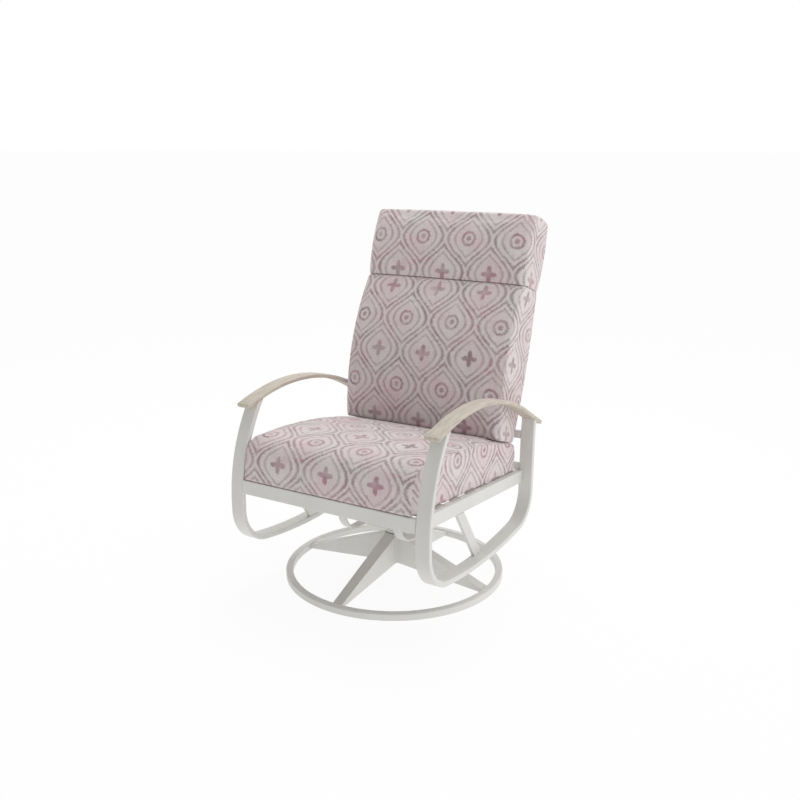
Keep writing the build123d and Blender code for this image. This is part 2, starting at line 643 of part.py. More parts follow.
def seat_cushion():
    """Thick seat pad: flat below, crowned above, with a soft front."""
    def plane_at(x):
        origin = (x, LEG_INNER_Y, FRONT_RAIL_TOP)
        return Plane(origin=origin, x_dir=(0, cos(SLOPE), -sin(SLOPE)), z_dir=(1, 0, 0))

    low = STRAP_THICKNESS + SOFT_CLEARANCE
    front = -SEAT_FRONT_OVERHANG
    rear = front + SEAT_LENGTH
    corners = [(front, low), (front + CUSHION_SIDE_DRAW, low + SEAT_FRONT_HEIGHT),
               (rear, low + SEAT_REAR_HEIGHT), (rear, low)]
    bulges = [SEAT_FRONT_CROWN, SEAT_TOP_CROWN, SEAT_REAR_CROWN, 0]
    return cushion(plane_at, corners, bulges, SEAT_HALF_WIDTH, soft_corner=1, radius=SEAT_NOSE_RADIUS)


def raked_cushion(foot, length, foot_thickness, head_thickness, bulges, **soft):
    """A pad of the back: its foot, its front, its head and the rear that leans on the straps."""
    def plane_at(x):
        return back_plane(0, 0, x)

    rear = STRAP_THICKNESS + SOFT_CLEARANCE + BACK_REAR_CROWN
    head = foot + length
    corners = [(foot, rear), (foot, rear + foot_thickness), (head, rear + head_thickness), (head, rear)]
    return cushion(plane_at, corners, bulges, BACK_HALF_WIDTH, **soft)


def back_cushion():
    """Thick back pad that swells forward from its foot and rolls over at its head seam."""
    bulges = [0, BACK_FRONT_CROWN, 0, BACK_REAR_CROWN]
    return raked_cushion(BACK_FOOT, BACK_LENGTH, BACK_FOOT_THICKNESS, BACK_HEAD_THICKNESS, bulges,
                         soft_corner=2, radius=BACK_ROLL_RADIUS)


def headrest_cushion():
    """Head pad, sewn on above the back pad and set back from its swell."""
    foot = BACK_FOOT + BACK_LENGTH + SOFT_CLEARANCE
    bulges = [0, HEADREST_FRONT_CROWN, HEADREST_TOP_CROWN, BACK_REAR_CROWN]
    return raked_cushion(foot, HEADREST_LENGTH, HEADREST_FOOT_THICKNESS, HEADREST_TOP_THICKNESS, bulges)


def main():
    os.makedirs("parts", exist_ok=True)
    save("base_ring", base_ring())
    for name, turn in (("right", 0), ("rear", 90), ("left", 180), ("front", 270)):
        save(f"spoke_{name}", spoke(turn))
    save("hub_tube", hub_tube())
    save("spindle_bushes", Pos(0, 0, HUB_TOP) * bush(), Pos(0, 0, WELL_TOP) * Rot(180, 0, 0) * bush())
    save("spindle", spindle())
    save("retaining_washer", retaining_washer())
    save("spindle_nut", spindle_nut())
    save("swivel_plate", swivel_plate())
    save("lower_spring_bolts", *lower_bolts())
    save("lower_spring_nuts", *lower_nuts())
    save("upper_spring_bolts", *upper_bolts())
    clamp_bottoms = {
        "lower_spring_clamps": PLATE_TOP + SPRING_THICKNESS,
        "upper_spring_clamps": SPRING_TOP - SPRING_THICKNESS - CLAMP_THICKNESS,
    }
    for name, bottom in clamp_bottoms.items():
        save(name, spring_clamp(bottom), mirrored(spring_clamp(bottom)))
    pairs = {
        "rocker_spring": rocker_spring(),
        "arm_loop": arm_loop(),
        "arm_cap": arm_cap(),
        "side_rail": side_rail(),
        "brace": brace(),
        "back_upright": back_upright(),
    }
    for name, right in pairs.items():
        save(f"{name}_right", right)
        save(f"{name}_left", mirrored(right))
    save("front_rail", front_rail())
    save("front_cross_bar", cross_bar(BOLT_ROWS[0]))
    save("rear_cross_bar", cross_bar(BOLT_ROWS[1]))
    save("lower_back_rail", back_rail(LOWER_BACK_RAIL_Z))
    save("upper_back_rail", back_rail(UPPER_BACK_RAIL_Z))
    save("back_top_rail", back_top_rail())
    save("seat_straps", *seat_straps())
    save("back_straps", *back_straps())
    save("seat_cushion", seat_cushion())
    save("back_cushion", back_cushion())
    save("headrest_cushion", headrest_cushion())


main()
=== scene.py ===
import json
from math import pi, radians

import bpy
import numpy as np
from bpy.props import FloatProperty, FloatVectorProperty, IntProperty, PointerProperty
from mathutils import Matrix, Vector
from mathutils.bvhtree import BVHTree


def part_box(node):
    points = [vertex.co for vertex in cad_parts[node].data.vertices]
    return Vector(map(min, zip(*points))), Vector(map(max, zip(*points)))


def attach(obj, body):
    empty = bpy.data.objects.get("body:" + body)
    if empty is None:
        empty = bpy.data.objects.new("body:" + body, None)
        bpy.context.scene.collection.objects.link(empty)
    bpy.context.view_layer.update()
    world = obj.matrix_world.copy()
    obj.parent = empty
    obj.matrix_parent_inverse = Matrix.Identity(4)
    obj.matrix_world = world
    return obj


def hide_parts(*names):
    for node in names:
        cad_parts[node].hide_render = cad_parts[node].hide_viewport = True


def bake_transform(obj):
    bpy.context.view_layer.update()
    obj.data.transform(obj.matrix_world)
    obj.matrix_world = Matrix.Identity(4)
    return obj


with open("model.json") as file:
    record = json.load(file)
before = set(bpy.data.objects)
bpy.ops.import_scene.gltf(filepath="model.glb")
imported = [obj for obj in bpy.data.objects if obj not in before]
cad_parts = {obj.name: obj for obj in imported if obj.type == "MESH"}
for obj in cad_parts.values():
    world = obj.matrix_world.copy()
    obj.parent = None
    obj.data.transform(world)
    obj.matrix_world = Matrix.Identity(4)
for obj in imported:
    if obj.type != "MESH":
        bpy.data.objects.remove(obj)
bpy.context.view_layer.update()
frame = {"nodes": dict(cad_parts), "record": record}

bl_info = {
    "name": "Swivel Patio Chair",
    "version": (1, 0, 0),
    "blender": (4, 5, 0),
    "location": "View3D > Sidebar > Patio Chair",
    "description": "Dresses a swivel rocker patio chair: pads, springs, arm caps, finishes and stage",
    "category": "Object",
}

MM = 0.001

# Points nearer than this are one point.
WELD_GAP = 0.02 * MM
# Keeps a division by a length of nothing from failing.
TINY = 1e-9

# A solid's edges draw in by this power of how far out to its side they are.
SIDE_FALL = 10
# Share of that draw which is filled back out at a pad's front.
FRONT_FILL_SHARE = 0.85
# Reach of the seat pad's front lip, up its front and back from it.
LIP_HEIGHT = 35 * MM
LIP_DEPTH = 60 * MM
# Width beside a strap over which the seat pad's sag sets in.
STRAP_EASE = 6 * MM
# Height of the head pad's foot that tucks down, and the gap it leaves to the back pad.
TUCK_HEIGHT = 30 * MM
TUCK_CLEARANCE = 0.8 * MM
# Frames of stuffing, and the gap it leaves half way to a neighbour.
STUFFING_STEPS = 20
STUFFING_CLEARANCE = 0.2 * MM
# The front of a section is what lies past this share of its depth.
FRONT_SHARE = 0.7
# A quarter turn mapped half from each side loses this share of its radius.
TURN_LOSS = 0.59
# Cloth whose normal points this far sideways belongs to a flank.
FLANK_TURN = 0.72

# Width of the camera's sensor, in its own millimetres.
SENSOR_WIDTH = 36
# The key light points at the middle of the chair.
KEY_TARGET = (0, 0, 0.5)
# Level way to the rear and right, from where the even light is strongest.
REAR_WAY = (0.5, 0.87, 0.0)


def linear(code):
    """Linear colour of an sRGB hex code."""
    parts = [int(code[i:i + 2], 16) / 255 for i in (1, 3, 5)]
    return tuple(p / 12.92 if p <= 0.04045 else ((p + 0.055) / 1.055) ** 2.4 for p in parts)


def opaque(colour):
    """A property's colour with full alpha, as colour sockets take it."""
    return (*colour, 1.0)


def node(tree, kind, inputs=None, **settings):
    """Add a node, set its options, and give each named input a value or a link.

    A link comes from a socket, or from a node's first output.
    """
    made = tree.nodes.new(kind)
    for name, value in settings.items():
        setattr(made, name, value)
    for name, value in (inputs or {}).items():
        if isinstance(value, bpy.types.Node):
            value = value.outputs[0]
        if isinstance(value, bpy.types.NodeSocket):
            tree.links.new(value, made.inputs[name])
        else:
            made.inputs[name].default_value = value
    return made


def blank_material(name):
    """An empty material, and its node tree."""
    material = bpy.data.materials.new(name)
    material.use_nodes = True
    material.node_tree.nodes.clear()
    return material, material.node_tree


def dress(piece, material):
    """Give a piece one material all over."""
    piece.data.materials.clear()
    piece.data.materials.append(material)


def only(piece):
    """Leave one piece selected and active."""
    bpy.ops.object.select_all(action="DESELECT")
    piece.select_set(True)
    bpy.context.view_layer.objects.active = piece


def finish_with(piece, kind, **settings):
    """Add a modifier to a piece, set it and apply it."""
    only(piece)
    bpy.ops.object.modifier_add(type=kind)
    modifier = piece.modifiers[-1]
    for name, value in settings.items():
        setattr(modifier, name, value)
    bpy.ops.object.modifier_apply(modifier=modifier.name)


def merged_copy(source, name):
    """A copy of a CAD node as a new piece, with its loose triangles joined."""
    piece = bpy.data.objects.new(name, frame["nodes"][source].data.copy())
    bpy.context.scene.collection.objects.link(piece)
    piece.data.materials.clear()
    only(piece)
    bpy.ops.mesh.customdata_custom_splitnormals_clear()
    bpy.ops.object.mode_set(mode="EDIT")
    bpy.ops.mesh.select_all(action="SELECT")
    bpy.ops.mesh.remove_doubles(threshold=WELD_GAP)
    bpy.ops.object.mode_set(mode="OBJECT")
    return piece


def points_of(piece):
    """The vertices of a piece as an array of places."""
    flat = np.empty(3 * len(piece.data.vertices))
    piece.data.vertices.foreach_get("co", flat)
    return flat.reshape(-1, 3)


def move_points(piece, places):
    """Write an array of places back to a piece's vertices."""
    piece.data.vertices.foreach_set("co", places.ravel())
    piece.data.update()


class FrameLook(bpy.types.PropertyGroup):
    """Colours of the metal, the arm caps and the parts inside the swivel."""
    paint: FloatVectorProperty(
        name="Frame paint", description="Powder coat of the ring, spokes, loops and rails",
        subtype="COLOR", default=linear("#DBDAD6"), min=0, max=1)
    cap_pale: FloatVectorProperty(
        name="Cap, pale grain", description="Lighter streaks of the wood-look arm caps",
        subtype="COLOR", default=linear("#D4CBBF"), min=0, max=1)
    cap_dark: FloatVectorProperty(
        name="Cap, dark grain", description="Darker streaks of the wood-look arm caps",
        subtype="COLOR", default=linear("#BAAEA0"), min=0, max=1)
    plating: FloatVectorProperty(
        name="Plating", description="Zinc plating on the spindle, nuts and bolts",
        subtype="COLOR", default=linear("#B9BCBE"), min=0, max=1)
    nylon: FloatVectorProperty(
        name="Bush nylon", description="Moulded bushes of the spindle",
        subtype="COLOR", default=linear("#3A3A3B"), min=0, max=1)
    webbing: FloatVectorProperty(
        name="Webbing", description="Straps that carry the pads",
        subtype="COLOR", default=linear("#BDBBB4"), min=0, max=1)
    edge_round: FloatProperty(
        name="Cap edge", description="Extra rounding of the arm caps' eased edges",
        unit="LENGTH", default=1.2 * MM, min=0)


class SpringForm(bpy.types.PropertyGroup):
    """Sizes of the two C-shaped rocker springs."""
    gauge: FloatProperty(
        name="Gauge", description="Thickness of the spring band",
        unit="LENGTH", default=6 * MM, min=1 * MM)
    bend_steps: IntProperty(
        name="Bend steps", description="Sides in the half-round bend", default=36, min=8)
    edge_round: FloatProperty(
        name="Edge", description="Rounding of the band's rolled edges",
        unit="LENGTH", default=1.2 * MM, min=0)


class PadForm(bpy.types.PropertyGroup):
    """How the three pads are cut and stuffed."""
    seat_slope: FloatProperty(
        name="Seat slope", description="How far the seat pad tips down to the rear",
        subtype="ANGLE", default=radians(4.85))
    back_rake: FloatProperty(
        name="Back rake", description="How far the back and head pads lean back",
        subtype="ANGLE", default=radians(17.84))
    grain: FloatProperty(
        name="Remesh size", description="Size of the mesh that is stuffed",
        unit="LENGTH", default=6 * MM, min=4 * MM)
    slack: FloatProperty(
        name="Slack", description="How far a pad is taken in before it is stuffed",
        unit="LENGTH", default=0.5 * MM, min=0)
    swell: FloatProperty(
        name="Swell", description="The most that stuffing may push the cloth out",
        unit="LENGTH", default=5 * MM, min=0)
    pressure: FloatProperty(
        name="Stuffing", description="Pressure of the filling on the cloth", default=4.0, min=0)
    edge_give: FloatProperty(
        name="Edge give", description="Share of the cloth's inward pull that the foam's edges give way to",
        subtype="FACTOR", default=0.25, min=0, max=1)
    edge_passes: IntProperty(
        name="Edge softness", description="Smoothing passes over all edges", default=3, min=0)
    side_draw: FloatProperty(
        name="Side draw", description="How far the solid's edges are drawn in at its two sides",
        unit="LENGTH", default=10 * MM, min=0)
    front_lip: FloatProperty(
        name="Front lip", description="How far the seat pad's lower front edge rolls over the front rail",
        unit="LENGTH", default=4 * MM, min=0)
    firm_depth: FloatProperty(
        name="Firm depth", description="How far from its edges the seat pad's resting face is squared up",
        unit="LENGTH", default=10 * MM, min=1 * MM)
    side_round: FloatProperty(
        name="Side round", description="Radius at which the back and head pads turn from front to flank",
        unit="LENGTH", default=20 * MM, min=1 * MM)
    head_tuck: FloatProperty(
        name="Head tuck",
        description="The most that the head pad's lower front edge sinks to the back pad's roll",
        unit="LENGTH", default=10 * MM, min=0)
    seat_stand_off: FloatProperty(
        name="Seat stand-off",
        description="How far the seat pad's right flank stands off the arm at its front",
        unit="LENGTH", default=11 * MM, min=0)
    strap_sag: FloatProperty(
        name="Strap sag", description="How far the seat pad sinks between its straps",
        unit="LENGTH", default=2.3 * MM, min=0)


class FabricLook(bpy.types.PropertyGroup):
    """Colours and sizes of the pads' printed cloth."""
    ground: FloatVectorProperty(
        name="Ground", description="Unprinted cloth",
        subtype="COLOR", default=linear("#DED5D4"), min=0, max=1)
    blush: FloatVectorProperty(
        name="Blush", description="Pale wash inside the motifs",
        subtype="COLOR", default=linear("#DAC6CA"), min=0, max=1)
    ink_grey: FloatVectorProperty(
        name="Grey ink", description="Cooler ink of the print",
        subtype="COLOR", default=linear("#958287"), min=0, max=1)
    ink_rose: FloatVectorProperty(
        name="Rose ink", description="Warmer ink of the print",
        subtype="COLOR", default=linear("#AC7F8C"), min=0, max=1)
    repeat_across: FloatProperty(
        name="Repeat across", description="Width of one repeat of the print",
        unit="LENGTH", default=165 * MM, min=20 * MM)
    repeat_along: FloatProperty(
        name="Repeat along", description="Length of one repeat of the print",
        unit="LENGTH", default=215 * MM, min=20 * MM)
    thread: FloatProperty(
        name="Thread", description="Spacing of the drawn threads",
        unit="LENGTH", default=3.2 * MM, min=0.5 * MM)


class StageSet(bpy.types.PropertyGroup):
    """Floor, light and camera."""
    camera_place: FloatVectorProperty(
        name="Camera", description="Where the camera stands",
        subtype="XYZ", unit="LENGTH", default=(1.4650, -2.3827, 1.3084))
    camera_turn: FloatProperty(
        name="Camera turn", description="How far the camera is turned about the upright axis",
        subtype="ANGLE", default=radians(31.2235))
    camera_drop: FloatProperty(
        name="Camera drop", description="How far the camera looks down",
        subtype="ANGLE", default=radians(14.981))
    lens: FloatProperty(
        name="Lens", description="Focal length in millimetres on a 36 mm sensor", default=42.79, min=1)
    key_place: FloatVectorProperty(
        name="Key place", description="Where the soft light hangs",
        subtype="XYZ", unit="LENGTH", default=(-0.5, 0.8, 3.2))
    key_size: FloatProperty(
        name="Key size", description="Width of the round soft light", unit="LENGTH", default=2.2, min=0.1)
    key_power: FloatProperty(
        name="Key light", description="Power of the soft light overhead, in watts",
        default=27.0, min=0)
    front_fill: FloatProperty(
        name="Front fill", description="Strength of the light from low in front", default=0.46, min=0)
    front_top_fill: FloatProperty(
        name="Front top fill", description="Strength of the light from high in front", default=0.1, min=0)
    rear_fill: FloatProperty(
        name="Rear fill", description="Strength of the even light from the sides and the rear",
        default=1.25, min=0)
    floor_size: FloatProperty(
        name="Floor size", description="Width of the floor", unit="LENGTH", default=400, min=4)
    floor_lift: FloatProperty(
        name="Floor lift", description="Share of plain white in the floor as the camera sees it",
        subtype="FACTOR", default=0.92, min=0, max=1)
    floor_glow: FloatProperty(
        name="Floor glow", description="Share of plain white in the floor as it lights the chair from below",
        subtype="FACTOR", default=1.0, min=0, max=1)


def powder_coat(look):
    """Polyester powder coat, baked: an even satin skin with a faint orange peel."""
    material, tree = blank_material("powder_coated_metal")
    place = node(tree, "ShaderNodeTexCoord").outputs["Object"]
    # The real peel is under 1 mm; it is drawn at 2.5 mm so that it shows.
    peel = node(tree, "ShaderNodeTexNoise", {"Vector": place, "Scale": 1 / (2.5 * MM), "Detail": 2.0})
    bump = node(tree, "ShaderNodeBump", {
        "Height": peel.outputs["Fac"], "Strength": 0.12, "Distance": 0.4 * MM})
    # A slow drift in the coat's thickness shows as a drift in tone and gloss.
    drift = node(tree, "ShaderNodeTexNoise", {"Vector": place, "Scale": 1 / (120 * MM), "Detail": 3.0})
    tone = node(tree, "ShaderNodeMapRange", {
        "Value": drift.outputs["Fac"], "From Min": 0.3, "From Max": 0.7, "To Min": 0.965, "To Max": 1.025})
    colour = node(tree, "ShaderNodeHueSaturation", {"Value": tone, "Color": opaque(look.paint)})
    rough = node(tree, "ShaderNodeMapRange", {
        "Value": drift.outputs["Fac"], "From Min": 0.3, "From Max": 0.7, "To Min": 0.40, "To Max": 0.48})
    skin = node(tree, "ShaderNodeBsdfPrincipled", {
        "Base Color": colour, "Roughness": rough, "Normal": bump, "IOR": 1.5})
    node(tree, "ShaderNodeOutputMaterial", {"Surface": skin})
    return material


def wood_look(look):
    """Extruded polymer with a brushed grain: long streaks, fine grooves and a dull sheen."""
    material, tree = blank_material("wood_look_polymer")
    place = node(tree, "ShaderNodeTexCoord").outputs["Object"]
    # Streaks are about 4 mm wide and 180 mm long, along the cap.
    stretched = node(tree, "ShaderNodeMapping", {
        "Vector": place, "Scale": (1 / (4 * MM), 1 / (180 * MM), 1 / (9 * MM))})
    streak = node(tree, "ShaderNodeTexNoise", {
        "Vector": stretched, "Scale": 1.0, "Detail": 5.0, "Roughness": 0.6, "Distortion": 0.5})
    # Brush lines are under 0.5 mm in the real thing and are drawn at 1.6 mm.
    lines = node(tree, "ShaderNodeMapping", {
        "Vector": place, "Scale": (1 / (1.6 * MM), 1 / (60 * MM), 1 / (1.6 * MM))})
    groove = node(tree, "ShaderNodeTexNoise", {
        "Vector": lines, "Scale": 1.0, "Detail": 3.0, "Roughness": 0.55})
    share = node(tree, "ShaderNodeMapRange", {
        "Value": streak.outputs["Fac"], "From Min": 0.34, "From Max": 0.68})
    toned = node(tree, "ShaderNodeMix", {
        0: share.outputs[0], 6: opaque(look.cap_dark), 7: opaque(look.cap_pale)}, data_type="RGBA")
    fine = node(tree, "ShaderNodeMapRange", {
        "Value": groove.outputs["Fac"], "From Min": 0.3, "From Max": 0.7, "To Min": 0.9, "To Max": 1.06})
    colour = node(tree, "ShaderNodeHueSaturation", {"Value": fine, "Color": toned.outputs[2]})
    bump = node(tree, "ShaderNodeBump", {
        "Height": groove.outputs["Fac"], "Strength": 0.25, "Distance": 0.4 * MM})
    rough = node(tree, "ShaderNodeMapRange", {
        "Value": groove.outputs["Fac"], "To Min": 0.5, "To Max": 0.68})
    skin = node(tree, "ShaderNodeBsdfPrincipled", {
        "Base Color": colour, "Roughness": rough, "Normal": bump, "IOR": 1.49})
    node(tree, "ShaderNodeOutputMaterial", {"Surface": skin})
    return material


def zinc_plate(look):
    """Zinc-plated steel, turned and tumbled: a grey metal with soft cloudy gloss."""
    material, tree = blank_material("zinc_plated_steel")
    place = node(tree, "ShaderNodeTexCoord").outputs["Object"]
    cloud = node(tree, "ShaderNodeTexNoise", {"Vector": place, "Scale": 1 / (6 * MM), "Detail": 4.0})
    tone = node(tree, "ShaderNodeMapRange", {"Value": cloud.outputs["Fac"], "To Min": 0.85, "To Max": 1.1})
    colour = node(tree, "ShaderNodeHueSaturation", {"Value": tone, "Color": opaque(look.plating)})
    rough = node(tree, "ShaderNodeMapRange", {
        "Value": cloud.outputs["Fac"], "To Min": 0.26, "To Max": 0.46})
    bump = node(tree, "ShaderNodeBump", {
        "Height": cloud.outputs["Fac"], "Strength": 0.08, "Distance": 0.2 * MM})
    skin = node(tree, "ShaderNodeBsdfPrincipled", {
        "Base Color": colour, "Roughness": rough, "Normal": bump, "Metallic": 1.0})
    node(tree, "ShaderNodeOutputMaterial", {"Surface": skin})
    return material


def moulded_nylon(look):
    """Moulded nylon: dark, dull and slightly mottled by the mould."""
    material, tree = blank_material("moulded_nylon")
    place = node(tree, "ShaderNodeTexCoord").outputs["Object"]
    mottle = node(tree, "ShaderNodeTexNoise", {"Vector": place, "Scale": 1 / (2 * MM), "Detail": 3.0})
    tone = node(tree, "ShaderNodeMapRange", {
        "Value": mottle.outputs["Fac"], "To Min": 0.85, "To Max": 1.15})
    colour = node(tree, "ShaderNodeHueSaturation", {"Value": tone, "Color": opaque(look.nylon)})
    rough = node(tree, "ShaderNodeMapRange", {
        "Value": mottle.outputs["Fac"], "To Min": 0.5, "To Max": 0.65})
    bump = node(tree, "ShaderNodeBump", {
        "Height": mottle.outputs["Fac"], "Strength": 0.1, "Distance": 0.2 * MM})
    skin = node(tree, "ShaderNodeBsdfPrincipled", {
        "Base Color": colour, "Roughness": rough, "Normal": bump, "IOR": 1.53})
    node(tree, "ShaderNodeOutputMaterial", {"Surface": skin})
    return material


def strap_webbing(look):
    """Woven polypropylene strap: ribs along the strap, crossed by a finer weft."""
    material, tree = blank_material("woven_strap_webbing")
    place = node(tree, "ShaderNodeTexCoord").outputs["Object"]
    split = node(tree, "ShaderNodeSeparateXYZ", {"Vector": place})
    # Ribs 3 mm apart over the strap's width, in Y on the seat and in Z on the back.
    over = node(tree, "ShaderNodeMath", {0: split.outputs["Y"], 1: split.outputs["Z"]}, operation="ADD")
    rib = node(tree, "ShaderNodeMath", {0: over, 1: 2 * pi / (3 * MM)}, operation="MULTIPLY")
    rib_wave = node(tree, "ShaderNodeMath", {0: rib}, operation="SINE")
    weft = node(tree, "ShaderNodeMath", {
        0: split.outputs["X"], 1: 2 * pi / (2.4 * MM)}, operation="MULTIPLY")
    weft_wave = node(tree, "ShaderNodeMath", {0: weft}, operation="SINE")
    weave = node(tree, "ShaderNodeMath", {0: rib_wave, 1: weft_wave}, operation="MULTIPLY")
    tone = node(tree, "ShaderNodeMapRange", {
        "Value": weave, "From Min": -1.0, "To Min": 0.82, "To Max": 1.08})
    colour = node(tree, "ShaderNodeHueSaturation", {"Value": tone, "Color": opaque(look.webbing)})
    bump = node(tree, "ShaderNodeBump", {"Height": weave, "Strength": 0.4, "Distance": 0.4 * MM})
    rough = node(tree, "ShaderNodeMapRange", {
        "Value": weave, "From Min": -1.0, "To Min": 0.85, "To Max": 0.75})
    skin = node(tree, "ShaderNodeBsdfPrincipled", {
        "Base Color": colour, "Roughness": rough, "Normal": bump})
    node(tree, "ShaderNodeOutputMaterial", {"Surface": skin})
    return material


def printed_cloth(look):
    """Slub-woven acrylic with a blurred resist print: matte, dry, uneven threads and soft-edged ink."""
    # Distances of the trellis lines inside a cell's side are shares of a repeat's width.
    rail_at, inner_at = 0.062, 0.21
    petal_root, petal_tip, ring_radius = 11 * MM, 27 * MM, 21 * MM
    material, tree = blank_material("printed_slub_cloth")
    around = node(tree, "ShaderNodeUVMap", uv_map="around")
    flank = node(tree, "ShaderNodeUVMap", uv_map="flank")
    turned = node(tree, "ShaderNodeAttribute", attribute_name="flank_share")
    is_flank = node(tree, "ShaderNodeMath", {
        0: turned.outputs["Fac"], 1: FLANK_TURN}, operation="GREATER_THAN")
    place = node(tree, "ShaderNodeMix", {0: is_flank, 4: around, 5: flank}, data_type="VECTOR").outputs[1]

    # Threads soak up ink unevenly, so each edge of the print is pulled along its threads by a few mm.
    warp_grain = node(tree, "ShaderNodeVectorMath", {
        0: place, 1: (1 / look.thread, 1 / (40 * MM), 0)}, operation="MULTIPLY")
    warp = node(tree, "ShaderNodeTexNoise", {"Vector": warp_grain, "Scale": 1.0, "Detail": 2.0})
    weft_grain = node(tree, "ShaderNodeVectorMath", {
        0: place, 1: (1 / (40 * MM), 1 / look.thread, 0)}, operation="MULTIPLY")
    weft = node(tree, "ShaderNodeTexNoise", {"Vector": weft_grain, "Scale": 1.0, "Detail": 2.0})
    pull_along = node(tree, "ShaderNodeMapRange", {
        "Value": warp.outputs["Fac"], "To Min": -8 * MM, "To Max": 8 * MM})
    pull_across = node(tree, "ShaderNodeMapRange", {
        "Value": weft.outputs["Fac"], "To Min": -6 * MM, "To Max": 6 * MM})
    pull = node(tree, "ShaderNodeCombineXYZ", {"X": pull_across, "Y": pull_along})
    bled = node(tree, "ShaderNodeVectorMath", {0: place, 1: pull}, operation="ADD")
    cell = node(tree, "ShaderNodeVectorMath", {
        0: bled, 1: (1 / look.repeat_across, 1 / look.repeat_along, 0)}, operation="MULTIPLY")
    split = node(tree, "ShaderNodeSeparateXYZ", {"Vector": cell})
    across = node(tree, "ShaderNodeMath", {0: split.outputs["X"], 1: 0.5}, operation="PINGPONG")
    along = node(tree, "ShaderNodeMath", {0: split.outputs["Y"], 1: 0.5}, operation="PINGPONG")

    # An ogee trellis: each side of a leaf-shaped cell is one S-curve, and cells sit in half drop.
    side = node(tree, "ShaderNodeMapRange", {
        "Value": along, "From Max": 0.5, "To Min": 0.5, "To Max": 0.0}, interpolation_type="SMOOTHSTEP")
    off = node(tree, "ShaderNodeMath", {0: across, 1: side}, operation="SUBTRACT")
    depth = node(tree, "ShaderNodeMath", {0: off}, operation="ABSOLUTE")
    rail_off = node(tree, "ShaderNodeMath", {0: depth, 1: rail_at}, operation="SUBTRACT")
    rail_gap = node(tree, "ShaderNodeMath", {0: rail_off}, operation="ABSOLUTE")
    rail = node(tree, "ShaderNodeMapRange", {
        "Value": rail_gap, "From Min": 0.006, "From Max": 0.058, "To Min": 1.0, "To Max": 0.0
    }, interpolation_type="SMOOTHSTEP")
    inner_off = node(tree, "ShaderNodeMath", {0: depth, 1: inner_at}, operation="SUBTRACT")
    inner_gap = node(tree, "ShaderNodeMath", {0: inner_off}, operation="ABSOLUTE")
    inner = node(tree, "ShaderNodeMapRange", {
        "Value": inner_gap, "From Min": 0.0, "From Max": 0.05, "To Min": 0.75, "To Max": 0.0
    }, interpolation_type="SMOOTHSTEP")

    # A four-petal flower in one set of cells, and a ring with a dot in the other.
    flower_x = node(tree, "ShaderNodeMath", {0: across, 1: look.repeat_across}, operation="MULTIPLY")
    flower_y = node(tree, "ShaderNodeMath", {0: along, 1: look.repeat_along}, operation="MULTIPLY")
    flower_place = node(tree, "ShaderNodeCombineXYZ", {"X": flower_x, "Y": flower_y})
    flower_far = node(tree, "ShaderNodeVectorMath", {0: flower_place}, operation="LENGTH").outputs["Value"]
    bearing = node(tree, "ShaderNodeMath", {0: flower_y, 1: flower_x}, operation="ARCTAN2")
    lobes = node(tree, "ShaderNodeMath", {0: bearing, 1: 4.0}, operation="MULTIPLY")
    lobe = node(tree, "ShaderNodeMath", {0: lobes}, operation="COSINE")
    rim = node(tree, "ShaderNodeMapRange", {
        "Value": lobe, "From Min": -1.0, "To Min": petal_root, "To Max": petal_tip})
    petal_off = node(tree, "ShaderNodeMath", {0: flower_far, 1: rim}, operation="SUBTRACT")
    petal = node(tree, "ShaderNodeMapRange", {
        "Value": petal_off, "From Min": -4 * MM, "From Max": 3 * MM, "To Min": 1.0, "To Max": 0.0
    }, interpolation_type="SMOOTHSTEP")
    ring_x = node(tree, "ShaderNodeMath", {0: 0.5 * look.repeat_across, 1: flower_x}, operation="SUBTRACT")
    ring_y = node(tree, "ShaderNodeMath", {0: 0.5 * look.repeat_along, 1: flower_y}, operation="SUBTRACT")
    ring_place = node(tree, "ShaderNodeCombineXYZ", {"X": ring_x, "Y": ring_y})
    ring_far = node(tree, "ShaderNodeVectorMath", {0: ring_place}, operation="LENGTH").outputs["Value"]
    band_off = node(tree, "ShaderNodeMath", {0: ring_far, 1: ring_radius}, operation="SUBTRACT")
    band_gap = node(tree, "ShaderNodeMath", {0: band_off}, operation="ABSOLUTE")
    band = node(tree, "ShaderNodeMapRange", {
        "Value": band_gap, "From Min": 2 * MM, "From Max": 6 * MM, "To Min": 1.0, "To Max": 0.0
    }, interpolation_type="SMOOTHSTEP")
    dot = node(tree, "ShaderNodeMapRange", {
        "Value": ring_far, "From Min": 5 * MM, "From Max": 11 * MM, "To Min": 1.0, "To Max": 0.0
    }, interpolation_type="SMOOTHSTEP")

    lines = node(tree, "ShaderNodeMath", {0: rail, 1: inner}, operation="MAXIMUM")
    rings = node(tree, "ShaderNodeMath", {0: band, 1: dot}, operation="MAXIMUM")
    motifs = node(tree, "ShaderNodeMath", {0: petal, 1: rings}, operation="MAXIMUM")
    drawn = node(tree, "ShaderNodeMath", {0: lines, 1: motifs}, operation="MAXIMUM")

